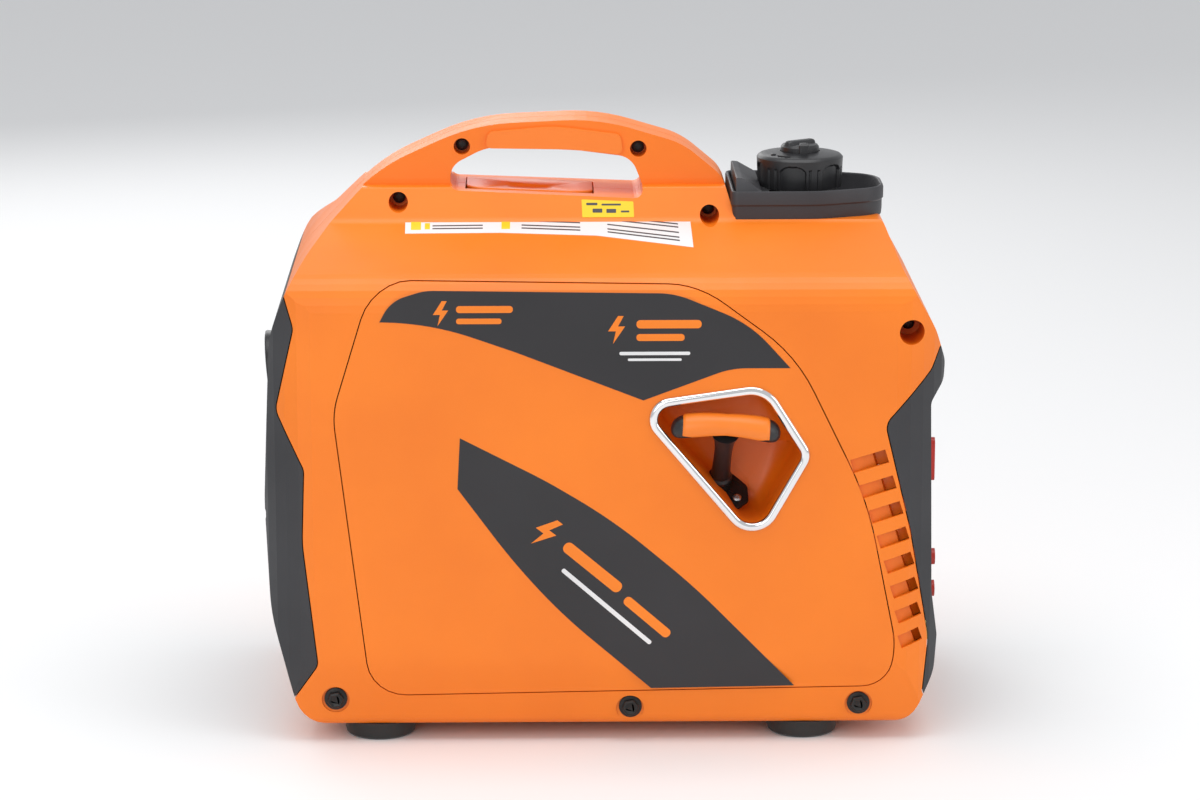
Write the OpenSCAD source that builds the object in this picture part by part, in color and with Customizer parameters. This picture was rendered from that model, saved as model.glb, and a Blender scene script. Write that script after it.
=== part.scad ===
// Portable inverter generator in a two-shell carry case.
// X runs from the exhaust end (-X) to the control panel end (+X), the recoil starter is on the -Y side, Z is up.
// The origin is on the ground, under the middle of the case.

/* [Case] */
// Width of the case across its two sides, without grip and knob
case_w = 274; // [250:2:320]
// Wall of the moulded case shells
wall = 3; // [2.5:0.5:4]
// Height of the case's underside above the ground
ground_gap = 12; // [10:1:16]
// Width of the carry handle bar
handle_w = 48; // [40:2:60]
// Width of the shelf under the handle
shelf_w = 70; // [64:2:80]
// Gap along the visible seams between case pieces
seam = 0.8; // [0.5:0.1:1.5]
// Diameter of the sunk holes over the handle screws
handle_hole_d = 12; // [10:1:14]
// Diameter of the sunk holes over the shoulder screws
shoulder_hole_d = 14; // [12:1:16]
// Diameter of the sunk holes over the base bolts
bolt_hole_d = 20; // [18:1:22]
// Number of air intake slots on each side
slot_count = 8; // [4:1:8]

/* [Feet] */
// Diameter of a rubber foot
foot_d = 51; // [41:2:55]
// Distance between left and right feet
foot_span_y = 200; // [180:5:204]

/* [Recoil starter] */
// Tilt of the rope's pull away from straight up
pull_tilt = 38; // [36:1:44]
// Length of the handle's stem
stem_len = 64; // [58:1:66]
// Width of the pull handle's grip
grip_w = 76; // [66:2:80]
// Thickness of the pull handle's grip
grip_d = 17; // [14:1:18]
// Diameter of the starter rope
rope_d = 4.5; // [3.5:0.5:5]
// Depth of the pocket round the pull handle
pocket_depth = 52; // [50:1:56]
// Width of the bright trim ring round the pocket
trim_w = 6.5; // [4:0.5:8]

/* [Fuel] */
// Diameter of the fuel cap
cap_d = 64; // [58:2:72]
// Outer diameter of the filler neck
neck_d = 44; // [38:1:46]
// Diameter of the vent knob on the fuel cap
vent_d = 28; // [22:1:32]

/* [Exhaust] */
// Outer diameter of the exhaust outlet
outlet_d = 54; // [46:2:64]
// Bore of the tail pipe inside the outlet
tailpipe_d = 22; // [16:1:26]

/* [Controls] */
// Diameter of an AC outlet's plug recess
ac_recess_d = 39; // [37:1:40]
// Depth of an AC outlet's plug recess
ac_recess = 17; // [15:0.5:19]
// Bore of the DC socket
dc_bore_d = 21; // [20:0.5:22]
// Bore of a parallel jack
jack_bore_d = 4; // [3.8:0.1:4.2]
// Diameter of the engine switch knob
switch_d = 36; // [30:1:40]

/* [Engine] */
// Diameter of the crankshaft's journals
journal_d = 18; // [15:1:22]
// Cylinder bore
bore_d = 48.6; // [44:0.2:52]
// Piston stroke
stroke = 43; // [36:1:46]
// Radius at which the rope lies on its pulley
rope_r = 40; // [36:1:44]

/* [Hidden] */
$fn = 48;
arc_steps = 6;
fit = 0.3;      // clearance round a piece that sits in a hole
running = 0.05; // radial clearance round a shaft
half_w = case_w / 2;
deck_z = 368;    // top of the case under the tank tray
shelf_z = 385;   // middle of the shelf under the handle
shelf_slope = 2.4;
crank = [-40, 132];     // x and z of the crankshaft
guide = [86, -98, 184]; // where the rope leaves its guide, for a case 274 wide
guide_y = guide[1] - (half_w - 137);
pull_turn = -86;
pull = [sin(pull_tilt) * cos(pull_turn), sin(pull_tilt) * sin(pull_turn), cos(pull_tilt)];
feet_x = [-160, 147];
filler_x = 148;
panel_face = 235;       // x of the control panel's face
front_x = 238;          // x of the front cover's face
outlet_at = [-237.5, 0, 250];
outlet_tilt = 5;
sleeve_len = 24.2;       // of the tail pipe's sleeve, as far as the muffler
trim_proud = 2.5;
foot_r = 8.5;            // of the stem's foot and the rope guide's bush
rope_bend = rope_d / 2 + 3.4; // depth below the guide at which the rope turns
tank_z = 263;
tank_top = deck_z - 18;
neck_z = deck_z + 27;
neck_wall = 4;
cap_z = neck_z - 10;
cap_h = 24;
lid_len = 92;
lid_w = 50;
lid_x = -50;
lid_t = 3;
ac_at = [[-10, 92], [54, 92]];
ac_flange_d = ac_recess_d + 9;
jack_at = [[-72, 122], [-72, 98]];
ground_at = [-72, 70];
dc_at = [14, 152];
usb_at = [54, 152];
switch_at = [-58, 192];
eco_at = [60, 196];
breaker_at = [[-34, 154], [-34, 136]];
lights_at = [[-14, 206], [4, 206], [22, 206]];
button_d = 8;
rocker_tilt = 8;
handle_screws = [[-99, 418], [29, 416]];
shoulder_screws = [[-145, 380], [80, 371]];
corner_screw = [220, 302];
base_bolts_at = [[-191, 33], [21, 25], [186, 28]];
service_knob_at = [10, 60];
service_knob_d = 32;

// Outlines: each corner is [across, up, radius].
case_side = [[-214, ground_gap, 28], [-237, 95, 120], [-241, 175, 200], [-235, 298, 80], [-219, 341, 100],
    [-159, 403, 130], [-90, 434, 150], [0, 438, 150], [61, 420, 60], [90, 396, 25], [99, deck_z, 0],
    [205, deck_z, 5], [214, 345, 25], [238, 302, 60], [246, 277, 20], [245, 264, 10], [front_x - 3, 250, 10],
    [front_x, 110, 60], [243, 76, 20], [241, 50, 30], [222, ground_gap, 24]];
handle_gap = [[-108, shelf_at(-108), 6], [-107, 404, 14], [-80, 418, 40], [-15, 415, 100], [24, 410, 16],
    [35, shelf_at(35), 6]];
shoulder_side = [[half_w - 9, ground_gap, 10], [half_w, 60, 60], [half_w, 336, 26], [shelf_w / 2 + 14, 367, 10],
    [shelf_w / 2, 390, 2], [handle_w / 2, 390, 0], [handle_w / 2, 460, 0]];
panel_side = [[-165, 36, 28], [-190, 245, 60], [-161, 339, 36], [70, 336, 70], [138, 286, 120],
    [190, 180, 250], [212, 72, 60], [205, 42, 22]];
rear_side = [[-300, 334, 0], [-225, 334, 3], [-217, 306, 12], [-231, 246, 14], [-211, 204, 12],
    [-213, 150, 100], [-203, 60, 10], [-232, 18, 0], [-300, -40, 0]];
front_side = [[300, 290, 0], [242, 290, 4], [235, 274, 12], [202, 236, 12], [221, 158, 200],
    [236, 76, 60], [232, 36, 4], [258, -6, 0], [300, -6, 0]];
trim_side = [[19, 252, 16], [118, 266, 24], [151, 214, 14], [111, 143, 20]];

function unit(v) = v / norm(v);
function xy(c) = [c[0], c[1]];
// Points of a corner q, rounded to radius r between its neighbours p and s.
function fillet(p, q, s, r) =
    let (a = unit(p - q), b = unit(s - q), half = acos(a * b) / 2, c = q + unit(a + b) * r / sin(half))
    let (from = q + a * r / tan(half) - c, to = q + b * r / tan(half) - c)
    let (a0 = atan2(from[1], from[0]), turn = (atan2(to[1], to[0]) - a0 + 540) % 360 - 180)
    [for (i = [0 : arc_steps]) c + r * [cos(a0 + turn * i / arc_steps), sin(a0 + turn * i / arc_steps)]];
// An outline's points, with every corner that has a radius made an arc.
function rounded(v) = let (n = len(v))
    [for (i = [0 : n - 1])
        each v[i][2] > 0 ? fillet(xy(v[(i + n - 1) % n]), xy(v[i]), xy(v[(i + 1) % n]), v[i][2]) : [xy(v[i])]];
// The same outline on both sides of the middle.
function both_sides(v) = concat(v, [for (i = [len(v) - 1 : -1 : 0]) [-v[i][0], v[i][1], v[i][2]]]);
function box_corners(x0, y0, x1, y1, r) = [[x0, y0, r], [x1, y0, r], [x1, y1, r], [x0, y1, r]];
// Height of the shelf's top at x.
function shelf_at(x) = shelf_z - (x + 38) * tan(shelf_slope);

// Extrudes an XZ outline along Y, from y0 to y1.
module along_y(y0, y1) translate([0, y1, 0]) rotate([90, 0, 0]) linear_extrude(y1 - y0) children();
// Extrudes a YZ outline along X, from x0 to x1.
module along_x(x0, x1) translate([x0, 0, 0]) rotate([90, 0, 90]) linear_extrude(x1 - x0) children();
module rod_y(x, z, y0, y1, r) translate([x, y1, z]) rotate([90, 0, 0]) cylinder(r = r, h = y1 - y0);
module rod_x(y, z, x0, x1, r) translate([x0, y, z]) rotate([0, 90, 0]) cylinder(r = r, h = x1 - x0);
module rod_z(x, y, z0, z1, r) translate([x, y, z0]) cylinder(r = r, h = z1 - z0);
module slab(x, y, z) translate([x[0], y[0], z[0]]) cube([x[1] - x[0], y[1] - y[0], z[1] - z[0]]);
// A straight round bar from point a to point b.
module bar(a, b, r) let (v = b - a) translate(a)
    rotate([0, acos(v[2] / norm(v)), atan2(v[1], v[0])]) cylinder(r = r, h = norm(v));
// Frame whose Z runs along the rope's pull, from the guide.
module at_pull() translate([guide[0], guide_y, guide[2]]) rotate([0, pull_tilt, pull_turn]) children();
module inset(g) if (g == 0) children(); else offset(delta = -g) children();

// The whole case as a solid, g inside its outer surface.
module case_solid(g) intersection() {
    along_y(-half_w - 1, half_w + 1) inset(g) difference() {
        polygon(rounded(case_side));
        polygon(rounded(handle_gap));
    }
    along_x(-260, 260) inset(g) polygon(rounded(both_sides(shoulder_side)));
    translate([0, 0, -1]) linear_extrude(470) inset(g) polygon(rounded(box_corners(-243, -half_w, 248, half_w, 38)));
}
module side_region(corners, y0, y1, grow = 0) along_y(y0, y1)
    if (grow == 0) polygon(rounded(corners)); else offset(delta = grow) polygon(rounded(corners));
module case_skin() difference() {
    case_solid(0);
    case_solid(wall);
}

// Slots of the air intake, cut through the side wall from y0 to y1.
module intake_slots(y0, y1) for (i = [0 : slot_count - 1]) {
    t = i / 7;
    w = 26 - 10 * t;
    translate([191 + 31 * (1 - pow(1 - t, 1.5)), 0, 209 - 131 * t]) rotate([0, -17 - 3 * t, 0])
        slab([-w / 2, w / 2], [y0, y1], [-5, 5]);
}
module screw_bosses() {
    for (s = handle_screws) rod_y(s[0], s[1], -half_w, -seam / 2, handle_hole_d / 2 + 2.5);
    for (s = shoulder_screws) rod_y(s[0], s[1], -half_w, -seam / 2, shoulder_hole_d / 2 + 2.5);
    rod_y(corner_screw[0], corner_screw[1], -half_w, -half_w + 46, shoulder_hole_d / 2 + 5);
    for (s = base_bolts_at) rod_y(s[0], s[1], -half_w, -half_w + 11, bolt_hole_d / 2 + 2.5);
}
module screw_holes() {
    for (s = handle_screws) {
        rod_y(s[0], s[1], -half_w, -10, handle_hole_d / 2);
        rod_y(s[0], s[1], -half_w, 1, 2.8);
    }
    for (s = shoulder_screws) {
        rod_y(s[0], s[1], -half_w, -14, shoulder_hole_d / 2);
        rod_y(s[0], s[1], -half_w, 1, 2.8);
    }
    rod_y(corner_screw[0], corner_screw[1], -half_w - 1, -half_w + 40, shoulder_hole_d / 2 + 2);
    rod_y(corner_screw[0], corner_screw[1], -half_w, -half_w + 47, 2.5);
    base_bolt_holes();
}
module base_bolt_holes() for (s = base_bolts_at) {
    rod_y(s[0], s[1], -half_w - 1, -half_w + 8, bolt_hole_d / 2);
    rod_y(s[0], s[1], -half_w, -half_w + 12, 3.3);
}
// Everything that is cut from both half shells.
module shell_cuts() {
    side_region(rear_side, -200, 200, seam / 2);
    side_region(front_side, -200, 200, seam / 2);
    slab([-190, 190], [-72, 72], [0, 20]);
    rod_z(filler_x, 0, 340, 390, neck_d / 2 + 8);
    lid_place() slab([-lid_len / 2 - seam, lid_len / 2 + seam], [-lid_w / 2 - seam, lid_w / 2 + seam], [-8, 8]);
    for (x = feet_x, y = [-1, 1]) rod_z(x, y * foot_span_y / 2, 0, 30, 3.3);
}
module case_recoil_side() color("darkorange") difference() {
    union() {
        case_skin();
        intersection() {
            case_solid(0);
            screw_bosses();
        }
    }
    slab([-300, 300], [-seam / 2, 300], [0, 500]);
    side_region(panel_side, -200, -half_w + 40, seam / 2);
    intake_slots(-200, -half_w + 20);
    shell_cuts();
    screw_holes();
}
module case_service_side() color("darkorange") difference() {
    union() {
        case_skin();
        intersection() {
            case_solid(0);
            mirror([0, 1, 0]) screw_bosses();
        }
    }
    slab([-300, 300], [-300, seam / 2], [0, 500]);
    side_region(panel_side, half_w - 40, 200, seam / 2);
    intake_slots(half_w - 20, 200);
    shell_cuts();
    for (s = concat(handle_screws, shoulder_screws)) rod_y(s[0], s[1], -1, 15, 2.5);
    mirror([0, 1, 0]) base_bolt_holes();
}
// The removable side panels fill the case's side openings.
module side_panel() difference() {
    intersection() {
        case_solid(0);
        side_region(panel_side, -200, -half_w + 40, -seam / 2);
    }
    case_solid(wall);
}
module recoil_panel() color("darkorange") difference() {
    side_panel();
    side_region(trim_side, -200, 0, -1);
}
module service_panel() color("darkorange") difference() {
    mirror([0, 1, 0]) side_panel();
    rod_y(service_knob_at[0], service_knob_at[1], 0, 200, 6.5);
}
module service_knob() color("dimgray") difference() {
    union() {
        rod_y(service_knob_at[0], service_knob_at[1], half_w + fit, half_w + 9, service_knob_d / 2);
        rod_y(service_knob_at[0], service_knob_at[1], half_w - 16, half_w + fit, 6.4);
    }
    slab([service_knob_at[0] - 12, service_knob_at[0] + 12], [half_w + 6, half_w + 10],
        [service_knob_at[1] - 1.6, service_knob_at[1] + 1.6]);
}
module recoil_pocket() color("orange") difference() {
    union() {
        difference() {
            side_region(trim_side, -half_w - 0.5, -half_w + pocket_depth, -1 - fit);
            side_region(trim_side, -half_w - 1, -half_w + pocket_depth - 2.5, -1 - fit - 2.5);
        }
        intersection() {
            side_region(trim_side, -half_w + 4, -half_w + pocket_depth, -1 - fit);
            at_pull() translate([0, 0, -60]) cylinder(r = 19, h = 56.9);
        }
    }
    at_pull() translate([0, 0, -10]) cylinder(r = rope_d / 2 + 2.3, h = 28);
    at_pull() translate([0, 0, -3.1]) {
        linear_extrude(5.5) rotate(40) offset(delta = fit) polygon(guide_plate());
        cylinder(r = foot_r + 1, h = 15);
    }
    rod_x(pulley_y, guide[2] - (rope_bend + 1) * pull[2], 40, guide[0] + 4, rope_d / 2 + 3);
}
function guide_plate() = rounded([[-24, -4, 3], [-14, -13, 5], [14, -13, 5], [24, -4, 3], [24, 4, 3], [14, 13, 5],
    [-14, 13, 5], [-24, 4, 3]]);
module recoil_trim() color("silver") difference() {
    side_region(trim_side, -half_w - trim_proud, -half_w - 0.6);
    side_region(trim_side, -half_w - 10, half_w, -trim_w);
}
module rope_guide() color("dimgray") difference() {
    union() {
        at_pull() rotate([0, 0, 40]) translate([0, 0, -3]) linear_extrude(2.4) polygon(guide_plate());
        at_pull() translate([0, 0, -3]) cylinder(r = foot_r, h = 7);
    }
    at_pull() translate([0, 0, -10]) cylinder(r = rope_d / 2 + 0.9, h = 30);
    guide_screw_places() translate([0, 0, -10]) cylinder(r = 1.7, h = 20);
}
module guide_screw_places() at_pull() rotate([0, 0, 40]) for (x = [-1, 1]) translate([x * 18, 0, 0]) children();
module rope_guide_screws() color("silver") guide_screw_places() {
    translate([0, 0, -0.6]) cylinder(r = 3, h = 1.8);
    translate([0, 0, -3]) cylinder(r = 1.6, h = 2.4);
}
module pull_handle() color("dimgray") difference() {
    at_pull() {
        translate([0, 0, 4.4]) cylinder(r = foot_r, h = 5);
        translate([0, 0, 9.4]) cylinder(r1 = 7.5, r2 = 6, h = stem_len - 15);
        translate([0, 0, stem_len]) rotate([0, 0, -5]) grip_bar(grip_w, grip_d / 2);
    }
    at_pull() translate([0, 0, 3]) cylinder(r = rope_d / 2 + 0.6, h = stem_len - 16);
    handle_pad_shape(0);
}
// The grip is a bar along its own Y with round ends.
module grip_bar(w, r) rotate([90, 0, 0]) rotate_extrude()
    polygon(concat([[0, -w / 2]], [for (a = [-75 : 15 : 0]) [r * cos(a), r * sin(a) - w / 2 + r]],
        [for (a = [0 : 15 : 75]) [r * cos(a), r * sin(a) + w / 2 - r]], [[0, w / 2]]));
module handle_pad_shape(g) at_pull() translate([0, 0, stem_len]) rotate([0, 0, -5]) intersection() {
    grip_bar(grip_w, grip_d / 2);
    translate([-grip_d, -grip_w / 2 + 12 - g, 1.5 - g]) cube([2 * grip_d, grip_w - 24 + 2 * g, grip_d]);
}
module pull_handle_pad() color("orange") handle_pad_shape(-0.05);
module rope_tail() color("white") at_pull() translate([0, 0, -3.2]) cylinder(r = rope_d / 2, h = stem_len - 15);
module rope_run() color("white")
    bar([crank[0] + 6, pulley_y, crank[1] + rope_r + 1], [guide[0], guide_y, guide[2]] - rope_bend * pull, rope_d / 2);
// The starter stack, from the pulley inwards, is placed from the pulley's middle plane.
pulley_y = guide_y + 2.5;
module starter_pulley() color("dimgray") difference() {
    union() {
        rod_y(crank[0], crank[1], pulley_y - 6, pulley_y - 3, rope_r + 6);
        rod_y(crank[0], crank[1], pulley_y - 3, pulley_y + 3, rope_r - 8);
        rod_y(crank[0], crank[1], pulley_y + 3, pulley_y + 6, rope_r + 6);
    }
    rod_y(crank[0], crank[1], pulley_y - 7, pulley_y + 7, 6 + running);
}
module rope_wrap() color("white") translate([crank[0], pulley_y, crank[1]]) rotate([90, 0, 0])
    rotate_extrude() translate([rope_r - 4.9, 0]) circle(r = rope_d / 2);
module recoil_housing() color("dimgray") difference() {
    union() {
        housing_cup(pulley_y - 12, pulley_y + 12, rope_r + 14);
        housing_cup(pulley_y + 9, pulley_y + 44, 84);
        rod_y(crank[0], crank[1], pulley_y - 10, pulley_y + 7, 6);
    }
    rod_y(crank[0], crank[1], pulley_y - 9.5, pulley_y + 8, 2);
    rod_y(crank[0], crank[1], pulley_y + 8, pulley_y + 14, rope_r + 10);
    rod_x(pulley_y, crank[1] + rope_r + 2, crank[0] + 20, crank[0] + 70, 5);
}
module housing_cup(y0, y1, r) difference() {
    rod_y(crank[0], crank[1], y0, y1, r);
    rod_y(crank[0], crank[1], y0 + 2.5, y1 + 1, r - 2.5);
}
module flywheel() color("gray") difference() {
    union() {
        rod_y(crank[0], crank[1], pulley_y + 18, pulley_y + 22, 72);
        for (a = [0 : 30 : 330]) translate([crank[0], pulley_y + 18, crank[1]]) rotate([90, a, 0])
            slab([40, 68], [-1, 1], [0, 6]);
        rod_y(crank[0], crank[1], pulley_y + 12, pulley_y + 40, 16);
        difference() {
            rod_y(crank[0], crank[1], pulley_y + 21, pulley_y + 44, 72);
            rod_y(crank[0], crank[1], pulley_y + 21, pulley_y + 46, 62);
        }
    }
    rod_y(crank[0], crank[1], pulley_y, 0, journal_d / 2);
}
module stator() color("peru") difference() {
    union() {
        rod_y(crank[0], crank[1], pulley_y + 25.5, pulley_y + 43.5, 34);
        for (a = [0 : 20 : 340]) translate([crank[0], pulley_y + 43.5, crank[1]]) rotate([90, a, 0])
            slab([30, 58], [-3, 3], [1, 17]);
        rod_y(crank[0], crank[1], pulley_y + 43, -46.2, 30);
    }
    rod_y(crank[0], crank[1], pulley_y + 20, -40, 20);
}
module crankshaft() color("silver") {
    rod_y(crank[0], crank[1], pulley_y + 14, -17, journal_d / 2);
    rod_y(crank[0], crank[1], 17, 60, journal_d / 2);
    for (y = [-17, 8]) {
        rod_y(crank[0], crank[1], y, y + 9, 30);
    }
    translate([0, 0, stroke / 2]) rod_y(crank[0], crank[1], -9, 9, 8);
}
module crankcase() color("lightgray") difference() {
    union() {
        slab([crank[0] - 46, crank[0] + 46], [-46, 46], [86, 180]);
        for (x = [-1, 1], y = [-1, 1])
            slab([crank[0] + x * 36 - 10, crank[0] + x * 36 + 10], [y * 36 - 10, y * 36 + 10], [46, 86]);
    }
    rod_y(crank[0], crank[1], -36, 36, 40);
    rod_y(crank[0], crank[1], -50, 50, journal_d / 2 + running);
    rod_z(crank[0], 0, 160, 190, bore_d / 2 + 2);
}
module cylinder_barrel() {
    rod_z(crank[0], 0, 180, 246, bore_d / 2 + 6);
    for (i = [0 : 6]) rod_z(crank[0], 0, 186 + 8.5 * i, 189 + 8.5 * i, 46);
}
module cylinder_node() color("lightgray") difference() {
    cylinder_barrel();
    rod_z(crank[0], 0, 170, 260, bore_d / 2);
}
module piston() color("silver") difference() {
    rod_z(crank[0], 0, 209, 243, bore_d / 2 - running);
    rod_z(crank[0], 0, 208, 237, bore_d / 2 - 4);
    rod_y(crank[0], 222, -40, 40, 6);
}
module cylinder_head() color("lightgray") difference() {
    union() {
        slab([crank[0] - 46, crank[0] + 46], [-40, 40], [246, 268]);
        slab([crank[0] - 44, crank[0] - 2], [-34, 34], [268, 296]);
    }
    rod_z(crank[0], 0, 240, 252, bore_d / 2);
    rod_z(crank[0] + 18, 0, 250, 270, 6);
}
module spark_plug() color("white") {
    rod_z(crank[0] + 18, 0, 256, 268, 5.9);
    translate([crank[0] + 18, 0, 268]) cylinder(r = 10, h = 9, $fn = 6);
    rod_z(crank[0] + 18, 0, 277, 300, 5.5);
}
module plug_boot() color("dimgray") difference() {
    union() {
        rod_z(crank[0] + 18, 0, 282, 316, 10);
        rod_x(0, 306, crank[0] + 18, crank[0] + 44, 7);
    }
    rod_z(crank[0] + 18, 0, 281, 301, 5.6);
}
module carburettor() color("silver") difference() {
    union() {
        rod_x(0, 258, crank[0] + 46, crank[0] + 78, 14);
        slab([crank[0] + 50, crank[0] + 72], [-16, 16], [226, 246]);
        slab([crank[0] + 56, crank[0] + 74], [8, 60], [246, 266]);
    }
    rod_x(0, 258, crank[0] + 40, crank[0] + 72, 9);
}
module air_box() color("dimgray") difference() {
    slab([crank[0] + 20, crank[0] + 110], [61, half_w - 16], [196, 256]);
    slab([crank[0] + 23, crank[0] + 107], [64, half_w - 19], [199, 253]);
}
module fuel_hose() color("dimgray") translate([crank[0] + 74 + 2, 0, 234]) {
    rotate([0, 90, 0]) translate([0, 0, -2]) cylinder(r = 3.5, h = 20);
    translate([18, 0, 0]) sphere(r = 3.5);
    translate([18, 0, 0]) cylinder(r = 3.5, h = 25.8);
}
module muffler() color("gray") difference() {
    union() {
        translate([0, 0, outlet_at[2]]) rotate([90, 0, 0]) linear_extrude(100, center = true)
            polygon(rounded(box_corners(-212, -36, -112, 36, 16)));
        rod_x(0, 258, -113, crank[0] - 46.2, 12);
    }
    at_outlet() translate([0, 0, -sleeve_len - 30]) cylinder(r = tailpipe_d / 2 + 2, h = 40);
}
module at_outlet() translate(outlet_at) rotate([0, -90 + outlet_tilt, 0]) children();
module exhaust_outlet() color("dimgray") at_outlet() difference() {
    union() {
        translate([0, 0, -16]) cylinder(r = outlet_d / 2, h = 22);
        translate([0, 0, -sleeve_len]) cylinder(r = tailpipe_d / 2 + 2, h = sleeve_len - 5);
    }
    translate([0, 0, 1]) cylinder(r = outlet_d / 2 - 4, h = 10);
    translate([0, 0, -30]) cylinder(r = tailpipe_d / 2, h = 40);
}
module rear_cover() color("dimgray") difference() {
    intersection() {
        case_skin();
        side_region(rear_side, -200, 200, -seam / 2);
    }
    at_outlet() translate([0, 0, -30]) cylinder(r = outlet_d / 2 + fit, h = 50);
    along_x(-260, -215) vent_pattern();
    for (y = [-1, 1], z = [166, 296]) rod_x(y * (half_w - 28), z, -260, -200, 4.5);
}
// Rows of round vent holes above and below the exhaust outlet.
module vent_pattern() {
    for (row = [0 : 5], i = [-4 : 4]) translate([i * 18, 80 + row * 16]) circle(d = 8);
    for (row = [0 : 4], i = [-1, 1], k = [0 : 1]) translate([i * (58 + k * 16), 208 + row * 16]) circle(d = 6);
}
module front_cover() color("dimgray") difference() {
    union() {
        intersection() {
            case_skin();
            side_region(front_side, -200, 200, -seam / 2);
        }
        difference() {
            along_x(panel_face - 7, front_x - 1) polygon(rounded(panel_window(3)));
            along_x(panel_face - 8, front_x + 1) polygon(rounded(panel_window(0)));
        }
    }
    along_x(panel_face - 8, front_x + 20) polygon(rounded(panel_window(0)));
}
function panel_window(g) = box_corners(-92 - g, 52 - g, 92 + g, 226 + g, 12 + g);
module control_panel() color("darkgray") difference() {
    union() {
        along_x(panel_face - 3, panel_face) polygon(rounded(panel_window(-0.5)));
        along_x(panel_face - 6.6, panel_face - 3) difference() {
            polygon(rounded(panel_window(-0.5)));
            polygon(rounded(panel_window(-3)));
        }
    }
    for (p = ac_at) rod_x(p[0], p[1], 200, 260, ac_recess_d / 2 + 3);
    for (p = jack_at) rod_x(p[0], p[1], 200, 260, 4.3);
    rod_x(ground_at[0], ground_at[1], 200, 260, 3.3);
    rod_x(dc_at[0], dc_at[1], 200, 260, dc_bore_d / 2 + 2.5);
    along_x(200, 260) translate(usb_at) square([30.6, 20.6], center = true);
    rod_x(switch_at[0], switch_at[1], 200, 260, 5.05);
    along_x(200, 260) translate(eco_at) square([16, 24], center = true);
    for (p = breaker_at) rod_x(p[0], p[1], 200, 260, button_d / 2 + fit);
    for (p = lights_at) rod_x(p[0], p[1], 200, 260, 3);
}
module ac_outlets() color("dimgray") for (p = ac_at) difference() {
    union() {
        rod_x(p[0], p[1], panel_face, panel_face + 3, ac_flange_d / 2);
        rod_x(p[0], p[1], panel_face - ac_recess - 6, panel_face, ac_recess_d / 2 + 3 - fit);
        slab([panel_face, panel_face + 3], [p[0] - 8, p[0] + 8], [p[1] + ac_flange_d / 2 - 3, p[1] + ac_flange_d / 2 + 4]);
    }
    rod_x(p[0], p[1], panel_face + 3 - ac_recess, panel_face + 4, ac_recess_d / 2);
    for (s = [-1, 1]) rod_x(p[0] + s * 9.5, p[1], panel_face - ac_recess - 2, panel_face, 2.5);
}
module outlet_lid(p) color("dimgray") {
    rod_x(p[0], p[1], panel_face + 3.3, panel_face + 7.5, ac_flange_d / 2 - 1);
    slab([panel_face + 3.3, panel_face + 7.5], [p[0] - 8, p[0] + 8], [p[1] + ac_flange_d / 2 - 6, p[1] + ac_flange_d / 2 + 3]);
}
module dc_outlet() color("dimgray") difference() {
    union() {
        rod_x(dc_at[0], dc_at[1], panel_face, panel_face + 2.5, dc_bore_d / 2 + 5);
        rod_x(dc_at[0], dc_at[1], panel_face - 34, panel_face, dc_bore_d / 2 + 2.2);
    }
    rod_x(dc_at[0], dc_at[1], panel_face - 30, panel_face + 3, dc_bore_d / 2);
}
module usb_outlet() color("dimgray") difference() {
    union() {
        along_x(panel_face, panel_face + 2) translate(usb_at) square([34, 24], center = true);
        along_x(panel_face - 18, panel_face) translate(usb_at) square([30, 20], center = true);
    }
    for (z = [-5, 5]) along_x(panel_face - 12, panel_face + 3) translate(usb_at + [0, z]) square([13, 5.2], center = true);
}
module indicator_lights() color("red") for (p = lights_at) {
    rod_x(p[0], p[1], panel_face - 8, panel_face + 1, 2.9);
}
module parallel_jacks() color("red") for (p = jack_at) difference() {
    union() {
        rod_x(p[0], p[1], panel_face, panel_face + 10, 6);
        rod_x(p[0], p[1], panel_face - 14, panel_face, 4);
    }
    rod_x(p[0], p[1], panel_face - 6, panel_face + 11, jack_bore_d / 2);
}
module ground_stud() color("goldenrod") union() {
    rod_x(ground_at[0], ground_at[1], panel_face - 12, panel_face + 10, 3);
    rod_x(ground_at[0], ground_at[1], panel_face, panel_face + 2, 7);
}
module ground_nut() color("goldenrod") difference() {
    union() {
        rod_x(ground_at[0], ground_at[1], panel_face + 2.2, panel_face + 8, 5.5);
        along_x(panel_face + 3.2, panel_face + 7.2) translate(ground_at) rotate(90)
            polygon(rounded(box_corners(-11, -3, 11, 3, 2.5)));
    }
    rod_x(ground_at[0], ground_at[1], panel_face, panel_face + 9, 3 + running);
}
module engine_switch() color("red") difference() {
    union() {
        rod_x(switch_at[0], switch_at[1], panel_face + 0.4, panel_face + 6, switch_d / 2);
        along_x(panel_face + 6, panel_face + 10) translate(switch_at) rotate(90)
            polygon(rounded(box_corners(-switch_d / 2 + 2, -4.5, switch_d / 2 - 2, 4.5, 4)));
        rod_x(switch_at[0], switch_at[1], panel_face - 12, panel_face + 0.4, 5);
    }
}
module eco_switch() color("dimgray") translate([panel_face, eco_at[0], eco_at[1]])
    rotate([90, rocker_tilt, 0]) linear_extrude(14, center = true)
        polygon([[-6, -7], [5.6, -9.6], [3.4, 0], [5.6, 9.6], [-6, 7]]);
module breaker(p) color("black") {
    rod_x(p[0], p[1], panel_face - 12, panel_face + 5, button_d / 2);
}
module case_screw(s, y, grip) {
    rod_y(s[0], s[1], y - 4, y, 4.6);
    rod_y(s[0], s[1], y, y + grip, 2.45);
}
module case_screws() color("dimgray") {
    for (s = handle_screws) case_screw(s, -10, 23);
    for (s = shoulder_screws) case_screw(s, -14, 27);
    case_screw(corner_screw, -half_w + 40, 5.5);
}
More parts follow.
